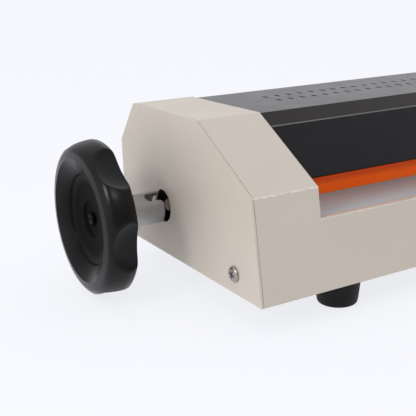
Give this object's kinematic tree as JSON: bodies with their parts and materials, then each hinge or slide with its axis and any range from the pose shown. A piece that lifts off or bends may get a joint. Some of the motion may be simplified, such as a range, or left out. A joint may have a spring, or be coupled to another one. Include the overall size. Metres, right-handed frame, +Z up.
{
  "type": "pouch laminator",
  "caption": "Desktop roller laminator in a folded beige steel casing with a black vented cover, an orange-lipped pouch slot and a push-on handwheel that turns the rollers by hand.",
  "frame": {"origin": "under the middle of the outline, handwheel pulled out, on the surface that the feet stand on", "axes": "+X along the machine from the handwheel end to the control end, +Y from the entry slot to the exit slot, +Z up"},
  "size_m": [0.5584, 0.202, 0.1314],
  "materials": {
    "casing_paint": "satin beige enamel",
    "black_paint": "fine matte black enamel",
    "hood_paint": "smooth satin black enamel",
    "orange_plastic": "smooth orange",
    "table_steel": "satin warm grey",
    "zinc_sheet": "zinc plated",
    "foot_rubber": "moulded black",
    "screw_steel": "zinc plated",
    "nickel_screw": "nickel plated",
    "black_screw": "black oxide",
    "bronze": "sintered bronze",
    "spring_steel": "oiled spring steel",
    "motor_case": "zinc plated steel can",
    "heater_aluminium": "plain extruded",
    "brown_plastic": "phenolic",
    "panel_black": "fine textured",
    "switch_black": "moulded black",
    "rocker_red": "moulded red",
    "knob_black": "moulded black",
    "lamp_lens": "clear tinted lens",
    "board_green": "printed board with parts",
    "shaft_steel": "ground",
    "silicone": "ground silicone rubber",
    "gear_nylon": "natural acetal",
    "wheel_plastic": "semi-gloss black",
    "tube_grey": "satin grey"
  },
  "bodies": {
    "casing": {"outer_casing": "casing_paint", "left_side_plate": "casing_paint", "right_side_plate": "casing_paint", "bottom_plate": "zinc_sheet", "feet": "foot_rubber", "foot_screws": "screw_steel", "side_screws": "nickel_screw", "top_cover": "black_paint", "cover_screws": "black_screw", "front_hood": "hood_paint", "entry_guide": "orange_plastic", "feed_table": "table_steel", "exit_guide": "zinc_sheet", "left_side_frame": "zinc_sheet", "right_side_frame": "zinc_sheet", "tie_rods": "screw_steel", "lower_bushes": "bronze", "spring_straps": "zinc_sheet", "front_pressure_springs": "spring_steel", "rear_pressure_springs": "spring_steel", "idler_stud": "screw_steel", "gear_motor": "motor_case", "motor_bracket": "zinc_sheet", "lower_heater_plate": "heater_aluminium", "upper_heater_plate": "heater_aluminium", "thermal_cutouts": "brown_plastic", "control_plate": "panel_black", "switch_bodies": "switch_black", "thermostat": "brown_plastic", "indicator_lamps": "lamp_lens", "control_board": "board_green", "power_inlet": "switch_black", "inlet_pins": "nickel_screw", "inlet_screws": "nickel_screw"},
    "drive_roller": {"rear_lower_shaft": "shaft_steel", "rear_lower_sleeve": "silicone", "rear_lower_gear": "gear_nylon", "drive_gear": "gear_nylon", "drive_pin": "shaft_steel"},
    "handwheel_assembly": {"handwheel": "wheel_plastic", "hub_tube": "tube_grey", "hub_screw": "screw_steel"},
    "front_lower_roller": {"front_lower_shaft": "shaft_steel", "front_lower_sleeve": "silicone", "front_lower_gear": "gear_nylon"},
    "rear_upper_bearings": {"rear_bearing_blocks": "bronze"},
    "rear_upper_roller": {"rear_upper_shaft": "shaft_steel", "rear_upper_sleeve": "silicone", "rear_upper_gear": "gear_nylon"},
    "front_upper_bearings": {"front_bearing_blocks": "bronze"},
    "front_upper_roller": {"front_upper_shaft": "shaft_steel", "front_upper_sleeve": "silicone", "front_upper_gear": "gear_nylon"},
    "idler": {"idler_gear": "gear_nylon"},
    "motor_output": {"motor_shaft": "shaft_steel", "motor_pinion": "screw_steel"},
    "power_switch": {"power_rocker": "rocker_red"},
    "direction_switch": {"direction_rocker": "switch_black"},
    "temperature_control": {"temperature_knob": "knob_black", "knob_spindle": "shaft_steel"}
  },
  "joints": [
    {"name": "drive_roller_spin", "type": "hinge", "parent": "casing", "child": "drive_roller", "pos_m": [0, 0.0305, 0.0585], "axis": [-1, 0, 0], "continuous": true},
    {"name": "handwheel_push", "type": "slide", "parent": "drive_roller", "child": "handwheel_assembly", "axis": [1, 0, 0], "range_m": [0, 0.018]},
    {"name": "front_lower_spin", "type": "hinge", "parent": "casing", "child": "front_lower_roller", "pos_m": [0, -0.0055, 0.0585], "axis": [-1, 0, 0], "continuous": true},
    {"name": "rear_upper_lift", "type": "slide", "parent": "casing", "child": "rear_upper_bearings", "axis": [0, 0, 1], "range_m": [0, 0.001], "stiffness_N_per_m": 4000, "springref_m": -0.002, "deforming": ["rear_pressure_springs"]},
    {"name": "rear_upper_spin", "type": "hinge", "parent": "rear_upper_bearings", "child": "rear_upper_roller", "pos_m": [0, 0.0305, 0.0868], "axis": [-1, 0, 0], "continuous": true},
    {"name": "front_upper_lift", "type": "slide", "parent": "casing", "child": "front_upper_bearings", "axis": [0, 0, 1], "range_m": [0, 0.001], "stiffness_N_per_m": 4000, "springref_m": -0.002, "deforming": ["front_pressure_springs"]},
    {"name": "front_upper_spin", "type": "hinge", "parent": "front_upper_bearings", "child": "front_upper_roller", "pos_m": [0, -0.0055, 0.0868], "axis": [-1, 0, 0], "continuous": true},
    {"name": "idler_spin", "type": "hinge", "parent": "casing", "child": "idler", "pos_m": [0, 0.0125, 0.04247], "axis": [-1, 0, 0], "continuous": true},
    {"name": "motor_output_spin", "type": "hinge", "parent": "casing", "child": "motor_output", "pos_m": [0, 0.0305, 0.0926], "axis": [-1, 0, 0], "continuous": true},
    {"name": "power_rocker_tilt", "type": "hinge", "parent": "casing", "child": "power_switch", "pos_m": [0.2118, -0.06963, 0.10555], "axis": [1, 0, 0], "range_deg": [0, 20]},
    {"name": "direction_rocker_tilt", "type": "hinge", "parent": "casing", "child": "direction_switch", "pos_m": [0.2458, -0.06963, 0.10555], "axis": [1, 0, 0], "range_deg": [-10, 10]},
    {"name": "temperature_knob_turn", "type": "hinge", "parent": "casing", "child": "temperature_control", "pos_m": [0.2288, -0.04997, 0.11653], "axis": [0, 0.5107, -0.8597], "range_deg": [0, 270]}
  ],
  "couplings": [
    {"joint": "front_lower_spin", "follows": "drive_roller_spin", "ratio": 1},
    {"joint": "rear_upper_spin", "follows": "drive_roller_spin", "ratio": -1},
    {"joint": "front_upper_spin", "follows": "drive_roller_spin", "ratio": -1},
    {"joint": "idler_spin", "follows": "drive_roller_spin", "ratio": -1.4},
    {"joint": "motor_output_spin", "follows": "drive_roller_spin", "ratio": -1.4286}
  ]
}
